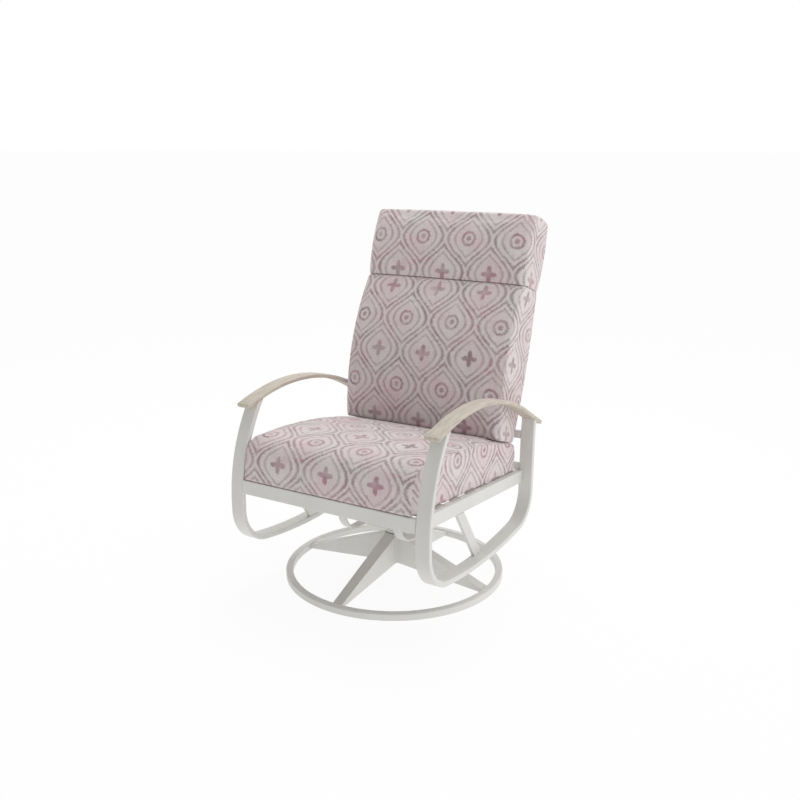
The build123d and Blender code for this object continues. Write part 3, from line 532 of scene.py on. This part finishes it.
    # Ink is worn thin in patches 50 mm across and turns from grey to rose over about 120 mm.
    patch = node(tree, "ShaderNodeTexNoise", {
        "Vector": place, "Scale": 1 / (50 * MM), "Detail": 4.0, "Roughness": 0.65})
    worn = node(tree, "ShaderNodeMapRange", {
        "Value": patch.outputs["Fac"], "From Min": 0.32, "From Max": 0.62, "To Min": 0.35, "To Max": 0.95})
    inked = node(tree, "ShaderNodeMath", {0: drawn, 1: worn}, operation="MULTIPLY")
    hue = node(tree, "ShaderNodeTexNoise", {"Vector": place, "Scale": 1 / (120 * MM), "Detail": 2.0})
    rosy = node(tree, "ShaderNodeMapRange", {
        "Value": hue.outputs["Fac"], "From Min": 0.38, "From Max": 0.62})
    ink = node(tree, "ShaderNodeMix", {
        0: rosy.outputs[0], 6: opaque(look.ink_grey), 7: opaque(look.ink_rose)}, data_type="RGBA")
    wash_in = node(tree, "ShaderNodeMapRange", {
        "Value": depth, "From Min": 0.05, "From Max": 0.3, "To Max": 0.8})
    wash = node(tree, "ShaderNodeMath", {0: wash_in, 1: rosy.outputs[0]}, operation="MULTIPLY")
    base = node(tree, "ShaderNodeMix", {
        0: wash, 6: opaque(look.ground), 7: opaque(look.blush)}, data_type="RGBA")
    cloth = node(tree, "ShaderNodeMix", {0: inked, 6: base.outputs[2], 7: ink.outputs[2]}, data_type="RGBA")

    # Slubs: thick and thin threads, 0.5 mm in the real cloth and drawn at the thread spacing.
    slub = node(tree, "ShaderNodeMath", {0: warp.outputs["Fac"], 1: weft.outputs["Fac"]}, operation="ADD")
    tone = node(tree, "ShaderNodeMapRange", {
        "Value": slub, "From Min": 0.7, "From Max": 1.3, "To Min": 0.9, "To Max": 1.08})
    # The seat pad's wrap is sewn to each flank along one seam, a groove about 2 mm wide. The groove is
    # bumped, and its colour is also darkened by up to 14% as painted shade.
    seam_off = node(tree, "ShaderNodeMath", {0: turned.outputs["Fac"], 1: FLANK_TURN}, operation="SUBTRACT")
    seam_gap = node(tree, "ShaderNodeMath", {0: seam_off}, operation="ABSOLUTE")
    sewn_here = node(tree, "ShaderNodeAttribute", attribute_name="sewn").outputs["Fac"]
    seam = node(tree, "ShaderNodeMapRange", {
        "Value": seam_gap, "From Min": 0.02, "From Max": 0.12, "To Min": sewn_here, "To Max": 0.0
    }, interpolation_type="SMOOTHSTEP")
    # Painted shade: the seam's groove darkens the cloth's colour, on top of the slub tone.
    shade = node(tree, "ShaderNodeMapRange", {"Value": seam, "To Min": 1.0, "To Max": 0.86})
    sewn = node(tree, "ShaderNodeMath", {0: tone, 1: shade}, operation="MULTIPLY")
    colour = node(tree, "ShaderNodeHueSaturation", {"Value": sewn, "Color": cloth.outputs[2]})
    rib_turn = node(tree, "ShaderNodeVectorMath", {
        0: place, "Scale": 2 * pi / look.thread}, operation="SCALE")
    rib_split = node(tree, "ShaderNodeSeparateXYZ", {"Vector": rib_turn})
    over = node(tree, "ShaderNodeMath", {0: rib_split.outputs["X"]}, operation="SINE")
    under = node(tree, "ShaderNodeMath", {0: rib_split.outputs["Y"]}, operation="SINE")
    weave = node(tree, "ShaderNodeMath", {0: over, 1: under}, operation="MULTIPLY")
    woven = node(tree, "ShaderNodeMath", {0: weave, 1: 0.25, 2: slub}, operation="MULTIPLY_ADD")
    height = node(tree, "ShaderNodeMath", {0: woven, 1: seam}, operation="SUBTRACT")
    bump = node(tree, "ShaderNodeBump", {"Height": height, "Strength": 0.35, "Distance": 0.8 * MM})
    rough = node(tree, "ShaderNodeMapRange", {
        "Value": slub, "From Min": 0.7, "From Max": 1.3, "To Min": 0.95, "To Max": 0.85})
    skin = node(tree, "ShaderNodeBsdfPrincipled", {
        "Base Color": colour, "Roughness": rough, "Normal": bump, "Sheen Weight": 0.3,
        "Sheen Roughness": 0.5, "Specular IOR Level": 0.3})
    node(tree, "ShaderNodeOutputMaterial", {"Surface": skin})
    return material


class CHAIR_OT_finish_frame(bpy.types.Operator):
    """Paint the metal and finish the small parts of the swivel"""
    bl_idname = "chair.finish_frame"
    bl_label = "Finish Frame"

    def execute(self, context):
        look = context.scene.chair_frame
        finishes = {
            "powder_coated_frame": powder_coat(look),
            "plated_steel": zinc_plate(look),
            "bush_nylon": moulded_nylon(look),
            "strap_webbing": strap_webbing(look),
        }
        for part in frame["record"]["subparts"]:
            if part["material_slot"] in finishes:
                dress(frame["nodes"][part["node"]], finishes[part["material_slot"]])
        return {"FINISHED"}


class CHAIR_OT_make_springs(bpy.types.Operator):
    """Bend two flat bands to the C-shaped rocker springs"""
    bl_idname = "chair.make_springs"
    bl_label = "Make Rocker Springs"

    def execute(self, context):
        form = context.scene.chair_springs
        for side in ("right", "left"):
            source = f"rocker_spring_{side}"
            low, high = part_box(source)
            radius = (high.z - low.z) / 2
            bend = Vector(((low.x + high.x) / 2, low.y + radius, low.z + radius))
            leg = high.y - bend.y
            bpy.ops.object.select_all(action="DESELECT")
            bpy.ops.mesh.primitive_plane_add(size=1, location=(bend.x, high.y, high.z - form.gauge / 2),
                                             rotation=(pi / 2, 0, 0))
            piece = context.object
            piece.name = f"spring_band_{side}"
            piece.scale = (high.x - low.x, form.gauge, 1)
            bpy.ops.object.transform_apply(location=True, rotation=True, scale=True)
            bpy.ops.object.mode_set(mode="EDIT")
            bpy.ops.mesh.select_all(action="SELECT")
            bpy.ops.mesh.extrude_region_move(TRANSFORM_OT_translate={"value": (0, -leg, 0)})
            bpy.ops.mesh.spin(steps=form.bend_steps, angle=-pi, center=bend, axis=(1, 0, 0))
            bpy.ops.mesh.extrude_region_move(TRANSFORM_OT_translate={"value": (0, leg, 0)})
            bpy.ops.mesh.select_all(action="SELECT")
            bpy.ops.mesh.remove_doubles(threshold=WELD_GAP)
            bpy.ops.mesh.normals_make_consistent(inside=False)
            bpy.ops.object.mode_set(mode="OBJECT")
            finish_with(piece, "BEVEL", width=form.edge_round, segments=2, limit_method="ANGLE",
                        angle_limit=radians(40))
            bpy.ops.object.shade_smooth_by_angle(angle=radians(40))
            dress(piece, bpy.data.materials["powder_coated_metal"])
            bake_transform(piece)
            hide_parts(source)
        return {"FINISHED"}


class CHAIR_OT_make_arm_caps(bpy.types.Operator):
    """Round and grain the two arched arm caps"""
    bl_idname = "chair.make_arm_caps"
    bl_label = "Make Arm Caps"

    def execute(self, context):
        look = context.scene.chair_frame
        material = wood_look(look)
        for side in ("right", "left"):
            source = f"arm_cap_{side}"
            piece = merged_copy(source, f"arm_slat_{side}")
            finish_with(piece, "BEVEL", width=look.edge_round, segments=2, limit_method="ANGLE",
                        angle_limit=radians(25))
            bpy.ops.object.shade_smooth_by_angle(angle=radians(35))
            dress(piece, material)
            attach(piece, "seat")
            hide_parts(source)
        return {"FINISHED"}


class Pad:
    """One pad: the solid it stands for, its own directions in the chair's frame, and how it is sewn.

    The drawn-in sides of the solid are filled back out by one share at the pad's low end, its front
    or foot, and by another at its high end.
    """

    def __init__(self, name, source, along, away, fill, print_start, low_share, high_share,
                 side_round=0):
        self.name = name
        self.source = source
        self.along = np.array(along)
        self.away = np.array(away)
        self.fill = fill
        self.print_start = print_start
        self.low_share = low_share
        self.high_share = high_share
        self.side_round = side_round

    def spread(self, places):
        """Places as distances along the pad and away from what it rests on."""
        return places @ self.along, places @ self.away

    def shift(self, piece, ahead, outward):
        """Move each point of a piece along the pad and away from what the pad rests on."""
        moves = np.outer(ahead, self.along) + np.outer(outward, self.away)
        move_points(piece, points_of(piece) + moves)


def normals_of(piece):
    """The vertex normals of a piece as an array."""
    flat = np.empty(3 * len(piece.data.vertices))
    piece.data.vertex_normals.foreach_get("vector", flat)
    return flat.reshape(-1, 3)


def surfaces_of(pieces):
    """The surfaces of some pieces as one tree, to measure room to."""
    corners, faces = [], []
    for piece in pieces:
        first = len(corners)
        corners.extend(vertex.co.copy() for vertex in piece.data.vertices)
        faces.extend([first + index for index in face.vertices] for face in piece.data.polygons)
    return BVHTree.FromPolygons(corners, faces)


def firm(gap, depth):
    """Gaps to a face, closed over a depth, so that a rounded edge by that face turns crisp."""
    return np.where(gap < depth, gap ** 2 / depth, gap)


def fill_sides(piece, pad, form):
    """Push the solid's drawn-in sides back out, so that pads meet over their whole width."""
    places = points_of(piece)
    along, away = pad.spread(places)
    draw = form.side_draw * (np.abs(places[:, 0]) / places[:, 0].max()) ** SIDE_FALL
    ahead = np.where(along < (along.min() + along.max()) / 2, -pad.low_share * draw, pad.high_share * draw)
    outward = np.where(away < (away.min() + away.max()) / 2, 0, FRONT_FILL_SHARE * draw)
    pad.shift(piece, ahead, outward)


def settle_seat(piece, pad, form):
    """Seat the seat pad on its frame.

    Its resting face is squared up, its right flank stands off the arm towards the front, its lip
    rolls over the front rail, and it sinks between its straps.
    """
    places = points_of(piece)
    along, away = pad.spread(places)
    up, behind = away - away.min(), along - along.min()
    right, left = places[:, 0].max() - places[:, 0], places[:, 0] - places[:, 0].min()
    resting = up < form.firm_depth
    widen = right - firm(right, form.firm_depth) - left + firm(left, form.firm_depth)
    places[:, 0] += np.where(resting, widen, 0)
    to_front = 1 - behind / behind.max()
    places[:, 0] -= form.seat_stand_off * to_front * np.clip(places[:, 0] / places[:, 0].max(), 0, 1)
    move_points(piece, places)
    squared = np.where(resting, firm(behind, form.firm_depth) - behind, 0)
    low = np.clip(1 - up / LIP_HEIGHT, 0, 1) ** 2
    front = np.clip(1 - behind / LIP_DEPTH, 0, 1)
    straps = points_of(frame["nodes"]["seat_straps"]) @ pad.along
    edges = np.unique(np.round(straps, 4)).reshape(-1, 2)
    off = np.maximum(edges[:, 0] - along[:, None], along[:, None] - edges[:, 1]).min(axis=1)
    between = np.where(along > edges[0, 0], np.clip(off / STRAP_EASE, 0, 1), 0)
    pad.shift(piece, squared - form.front_lip * low * front,
              firm(up, form.firm_depth) - up - form.strap_sag * low * between)


def tuck_foot(piece, pad, form, back_pad):
    """Sink the head pad's lower front edge onto the roll of the finished back pad."""
    below = surfaces_of([back_pad])
    places = points_of(piece)
    along = places @ pad.along
    low = np.clip(1 - (along - along.min()) / TUCK_HEIGHT, 0, 1)
    down = Vector(-pad.along)
    room = np.zeros(len(places))
    for index in np.flatnonzero(low):
        drop = below.ray_cast(Vector(places[index]), down)[3]
        room[index] = form.head_tuck if drop is None else drop - TUCK_CLEARANCE
    tuck = np.clip(room, 0, form.head_tuck) * low
    pad.shift(piece, -tuck, 0)


def front_of(pad, solid):
    """The front of the solid's middle section: distances along it, away at the front, and round it."""
    line, so_far = section_round(pad, solid)
    low, high = line.min(axis=0), line.max(axis=0)
    front = line[:, 1] > low[1] + FRONT_SHARE * (high[1] - low[1])
    return np.maximum.accumulate(line[front, 0]), line[front, 1], so_far[front]


def round_sides(piece, pad, solid):
    """Round the upright edges where a pad's front turns to its flanks."""
    places = points_of(piece)
    along, away = pad.spread(places)
    front_along, front_away, _ = front_of(pad, solid)
    flat = np.abs(places[:, 0]).max() - pad.side_round
    sideways = np.abs(places[:, 0]) - flat
    forward = away - np.interp(along, front_along, front_away) + pad.side_round
    corner = (sideways > 0) & (forward > 0)
    reach = np.maximum(sideways, forward) / np.maximum(np.hypot(sideways, forward), TINY)
    share = np.where(corner, reach, 1)
    places[:, 0] = np.where(corner, np.sign(places[:, 0]) * (flat + share * sideways), places[:, 0])
    move_points(piece, places)
    outward = np.where(corner, (share - 1) * forward, 0)
    pad.shift(piece, 0, outward)


def stuff(piece, form, scene, neighbours):
    """Blow the cloth of a pad out by the pressure of its filling.

    It swells as far as its neighbours leave it room, and the foam's firm edges hold most of the
    inward pull.
    """
    start = points_of(piece)
    facing = normals_of(piece)
    only(piece)
    bpy.ops.object.modifier_add(type="CLOTH")
    cloth = piece.modifiers[-1]
    cloth.settings.use_pressure = True
    cloth.settings.uniform_pressure_force = form.pressure
    cloth.settings.effector_weights.gravity = 0
    cloth.point_cache.frame_start = 1
    cloth.point_cache.frame_end = STUFFING_STEPS
    for step in range(1, STUFFING_STEPS + 1):
        scene.frame_set(step)
    bpy.ops.object.modifier_apply(modifier=cloth.name)
    scene.frame_set(1)
    moved = points_of(piece) - start
    inward = (moved * facing).sum(axis=1) < 0
    room = np.array([neighbours.find_nearest(place)[3] for place in start])
    limit = np.where(inward, form.swell, np.minimum(form.swell, np.maximum(room / 2 - STUFFING_CLEARANCE, 0)))
    share = np.minimum(1, limit / np.maximum(np.linalg.norm(moved, axis=1), TINY))
    share *= np.where(inward, form.edge_give, 1)
    move_points(piece, start + moved * share[:, None])


def hold_in(piece, pad, solid):
    """Keep a stuffed pad off what it rests on and off the arms beside it."""
    places = points_of(piece)
    rest = (solid @ pad.away).min()
    sunk = np.minimum(places @ pad.away - rest, 0)
    places -= sunk[:, None] * pad.away
    places[:, 0] = np.clip(places[:, 0], solid[:, 0].min(), solid[:, 0].max())
    move_points(piece, places)


def section_round(pad, solid):
    """The solid's middle section as a closed line, from the middle of its resting face round its foot.

    Its places come back with the length of line up to each of them.
    """
    middle = solid[np.abs(solid[:, 0]) < WELD_GAP]
    line = np.stack(pad.spread(middle), axis=1)
    centre = (line.min(axis=0) + line.max(axis=0)) / 2
    out = centre - line
    line = line[np.argsort(np.arctan2(out[:, 0], out[:, 1]) % (2 * pi))]
    seam = (line[:1] + line[-1:]) / 2
    line = np.concatenate([seam, line, seam])
    lengths = np.linalg.norm(np.diff(line, axis=0), axis=1)
    return line, np.concatenate([[0], np.cumsum(lengths)])


def way_round(line, so_far, places):
    """How far round a closed line the nearest point of it lies, for each place."""
    start = line[:-1]
    step = np.diff(line, axis=0)
    size = np.maximum((step ** 2).sum(axis=1), TINY ** 2)
    share = np.clip((places @ step.T - (start * step).sum(axis=1)) / size, 0, 1)
    off_x = places[:, :1] - (start[:, 0] + share * step[:, 0])
    off_y = places[:, 1:] - (start[:, 1] + share * step[:, 1])
    nearest = np.argmin(off_x ** 2 + off_y ** 2, axis=1)
    picked = share[np.arange(len(places)), nearest]
    return so_far[nearest] + picked * np.diff(so_far)[nearest]


def lay_print(piece, pad, solid):
    """Map the cloth round the pad, and over its two flanks.

    A pad without rounded sides is sewn along its flanks.
    """
    places = points_of(piece)
    line, so_far = section_round(pad, solid)
    spread = np.stack(pad.spread(places), axis=1)
    way = way_round(line, so_far, spread)
    whole = so_far[-1]

    mesh = piece.data
    corner = np.empty(len(mesh.loops), dtype=int)
    mesh.loops.foreach_get("vertex_index", corner)
    turn_way = way[corner].reshape(-1, 4)
    wrapped = turn_way.max(axis=1, keepdims=True) - turn_way > whole / 2
    turn_way = np.where(wrapped, turn_way + whole, turn_way)
    mesh.uv_layers.new(name="around").data.foreach_set(
        "uv", np.stack([places[corner, 0], turn_way.ravel() - pad.print_start], axis=1).ravel())
    flank = spread - line.min(axis=0)
    if pad.side_round:
        # The front's cloth goes on round the flank.
        front_along, front_away, front_way = front_of(pad, solid)
        depth = np.interp(spread[:, 0], front_along, front_away) - spread[:, 1] - TURN_LOSS * pad.side_round
        round_side = np.sign(places[:, 0]) * (np.abs(places[:, 0]).max() + depth)
        up_side = np.interp(spread[:, 0], front_along, front_way) - pad.print_start
        flank = np.stack([round_side, up_side], axis=1)
    mesh.uv_layers.new(name="flank").data.foreach_set("uv", flank[corner].ravel())
    share = mesh.attributes.new("flank_share", "FLOAT", "POINT")
    share.data.foreach_set("value", np.abs(normals_of(piece)[:, 0]))
    sewn = mesh.attributes.new("sewn", "FLOAT", "POINT")
    sewn.data.foreach_set("value", np.full(len(places), 0.0 if pad.side_round else 1.0))


class CHAIR_OT_stuff_pads(bpy.types.Operator):
    """Cut, stuff and cover the seat, back and head pads"""
    bl_idname = "chair.stuff_pads"
    bl_label = "Stuff Pads"

    def execute(self, context):
        scene = context.scene
        form = scene.chair_pads
        material = printed_cloth(scene.chair_fabric)
        slope, rake = form.seat_slope, form.back_rake
        up_back = (0, np.sin(rake), np.cos(rake))
        forward = (0, -np.cos(rake), np.sin(rake))
        to_rear = (0, np.cos(slope), -np.sin(slope))
        off_seat = (0, np.sin(slope), np.cos(slope))
        pads = (
            Pad("seat_pad", "seat_cushion", to_rear, off_seat, fill=0.8, print_start=380 * MM,
                low_share=0.85, high_share=0.85),
            Pad("back_pad", "back_cushion", up_back, forward, fill=0.75, print_start=400 * MM,
                low_share=1.25, high_share=0.7, side_round=form.side_round),
            Pad("head_pad", "headrest_cushion", up_back, forward, fill=0.75, print_start=260 * MM,
                low_share=1.1, high_share=0.8, side_round=form.side_round),
        )
        made = {}
        for pad in pads:
            piece = merged_copy(pad.source, pad.name)
            solid = points_of(piece)
            fill_sides(piece, pad, form)
            finish_with(piece, "REMESH", mode="VOXEL", voxel_size=form.grain)
            finish_with(piece, "SMOOTH", factor=0.5, iterations=form.edge_passes)
            finish_with(piece, "DISPLACE", strength=-form.slack, mid_level=0.0)
            others = [other for name, other in frame["nodes"].items() if name != pad.source]
            stuff(piece, form, scene, surfaces_of(others))
            hold_in(piece, pad, solid)
            if pad.side_round:
                round_sides(piece, pad, solid)
            if pad.name == "seat_pad":
                settle_seat(piece, pad, form)
            if pad.name == "head_pad":
                tuck_foot(piece, pad, form, made["back_pad"])
            lay_print(piece, pad, solid)
            finish_with(piece, "SUBSURF", levels=1, render_levels=1)
            only(piece)
            bpy.ops.object.shade_smooth()
            dress(piece, material)
            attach(piece, "seat")
            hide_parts(pad.source)
            made[pad.name] = piece
        return {"FINISHED"}


def seen_rays(tree):
    """1 on rays that are seen, straight, mirrored or through glass, and 0 on those that only carry light."""
    rays = node(tree, "ShaderNodeLightPath")
    mirrored = node(tree, "ShaderNodeMath", {
        0: rays.outputs["Is Camera Ray"], 1: rays.outputs["Is Glossy Ray"]}, operation="MAXIMUM")
    return node(tree, "ShaderNodeMath", {
        0: mirrored, 1: rays.outputs["Is Transmission Ray"]}, operation="MAXIMUM")


class CHAIR_OT_set_stage(bpy.types.Operator):
    """Set the floor, the light and the camera"""
    bl_idname = "chair.set_stage"
    bl_label = "Set Stage"

    def execute(self, context):
        scene = context.scene
        stage = scene.chair_stage
        scene.view_settings.view_transform = "Standard"

        bpy.ops.object.select_all(action="DESELECT")
        bpy.ops.mesh.primitive_plane_add(size=stage.floor_size)
        floor = context.object
        floor.name = "pale_floor"
        material, tree = blank_material("pale_floor_paint")
        seen = seen_rays(tree)
        lift = node(tree, "ShaderNodeMapRange", {
            "Value": seen, "To Min": stage.floor_glow, "To Max": stage.floor_lift})
        matte = node(tree, "ShaderNodeBsdfDiffuse", {"Color": opaque(linear("#FFFFFF"))})
        white = node(tree, "ShaderNodeEmission", {"Color": (1, 1, 1, 1), "Strength": 1.0})
        mixed = node(tree, "ShaderNodeMixShader", {0: lift, 1: matte, 2: white})
        node(tree, "ShaderNodeOutputMaterial", {"Surface": mixed})
        dress(floor, material)

        world = bpy.data.worlds.new("studio")
        scene.world = world
        world.use_nodes = True
        tree = world.node_tree
        tree.nodes.clear()
        seen = seen_rays(tree)
        toward = node(tree, "ShaderNodeTexCoord").outputs["Generated"]
        side = node(tree, "ShaderNodeVectorMath", {
            0: toward, 1: REAR_WAY}, operation="DOT_PRODUCT").outputs["Value"]
        height = node(tree, "ShaderNodeSeparateXYZ", {"Vector": toward}).outputs["Z"]
        front = node(tree, "ShaderNodeMapRange", {
            "Value": height, "From Min": 0.25, "From Max": 0.75, "To Min": stage.front_fill,
            "To Max": stage.front_top_fill}, interpolation_type="SMOOTHSTEP")
        soft = node(tree, "ShaderNodeMapRange", {
            "Value": side, "From Min": -0.8, "From Max": 0.6, "To Min": front, "To Max": stage.rear_fill
        }, interpolation_type="SMOOTHSTEP")
        level = node(tree, "ShaderNodeMapRange", {"Value": seen, "To Min": soft, "To Max": 1.0})
        sky = node(tree, "ShaderNodeBackground", {"Color": (1, 1, 1, 1), "Strength": level})
        node(tree, "ShaderNodeOutputWorld", {"Surface": sky})

        place = Vector(stage.key_place)
        bpy.ops.object.light_add(type="AREA", location=place)
        key = context.object
        key.name = "key_light"
        key.data.shape = "DISK"
        key.data.size = stage.key_size
        key.data.energy = stage.key_power
        key.rotation_euler = (Vector(KEY_TARGET) - place).to_track_quat("-Z", "Y").to_euler()

        bpy.ops.object.camera_add(location=stage.camera_place,
                                  rotation=(pi / 2 - stage.camera_drop, 0, stage.camera_turn))
        camera = context.object
        camera.name = "photo_camera"
        camera.data.sensor_width = SENSOR_WIDTH
        camera.data.lens = stage.lens
        scene.camera = camera
        return {"FINISHED"}


class CHAIR_PT_tools(bpy.types.Panel):
    """Steps that dress the chair, in order"""
    bl_idname = "CHAIR_PT_tools"
    bl_label = "Patio Chair"
    bl_space_type = "VIEW_3D"
    bl_region_type = "UI"
    bl_category = "Patio Chair"

    def draw(self, context):
        for step in STEPS:
            self.layout.operator(step.bl_idname)


STEPS = (CHAIR_OT_finish_frame, CHAIR_OT_make_springs, CHAIR_OT_make_arm_caps, CHAIR_OT_stuff_pads,
         CHAIR_OT_set_stage)
SETTINGS = {
    "chair_frame": FrameLook,
    "chair_springs": SpringForm,
    "chair_pads": PadForm,
    "chair_fabric": FabricLook,
    "chair_stage": StageSet,
}


def register():
    for group in SETTINGS.values():
        bpy.utils.register_class(group)
    for name, group in SETTINGS.items():
        setattr(bpy.types.Scene, name, PointerProperty(type=group))
    for step in STEPS:
        bpy.utils.register_class(step)
    bpy.utils.register_class(CHAIR_PT_tools)


def unregister():
    bpy.utils.unregister_class(CHAIR_PT_tools)
    for step in reversed(STEPS):
        bpy.utils.unregister_class(step)
    for name, group in SETTINGS.items():
        delattr(bpy.types.Scene, name)
        bpy.utils.unregister_class(group)


def main():
    register()
    bpy.ops.chair.finish_frame()
    bpy.ops.chair.make_springs()
    bpy.ops.chair.make_arm_caps()
    bpy.ops.chair.stuff_pads()
    bpy.ops.chair.set_stage()


if __name__ == "__main__":
    main()
